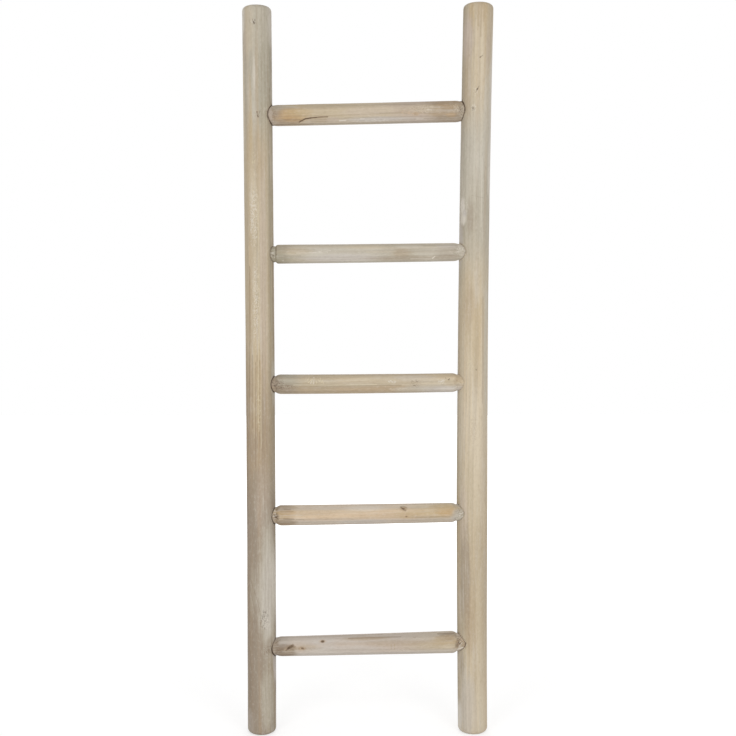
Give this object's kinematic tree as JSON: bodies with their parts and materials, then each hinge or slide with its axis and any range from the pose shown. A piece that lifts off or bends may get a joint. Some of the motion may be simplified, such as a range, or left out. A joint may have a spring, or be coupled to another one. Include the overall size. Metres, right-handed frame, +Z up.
{
  "type": "decorative ladder",
  "caption": "Free-standing or leaning blanket ladder of whitewashed wood: round poles with rounded ends, joined by round rungs tenoned into blind bores.",
  "frame": {"origin": "on the floor, midway between the outsides of the two poles", "axes": "+Z up along the poles, +X to the right as seen from the front, -Y towards the front"},
  "size_m": [0.5102, 0.0644, 1.5],
  "materials": {
    "pole_wood": "whitewashed softwood, matt",
    "rung_wood": "whitewashed softwood, worn and browner, matt",
    "nail_steel": "dull bright steel"
  },
  "bodies": {
    "root": {"left_pole": "pole_wood", "right_pole": "pole_wood", "bottom_rung": "rung_wood", "lower_rung": "rung_wood", "middle_rung": "rung_wood", "upper_rung": "rung_wood", "top_rung": "rung_wood", "bottom_rung_left_nail": "nail_steel", "bottom_rung_right_nail": "nail_steel", "lower_rung_left_nail": "nail_steel", "lower_rung_right_nail": "nail_steel", "middle_rung_left_nail": "nail_steel", "middle_rung_right_nail": "nail_steel", "upper_rung_left_nail": "nail_steel", "upper_rung_right_nail": "nail_steel", "top_rung_left_nail": "nail_steel", "top_rung_right_nail": "nail_steel"}
  },
  "joints": []
}
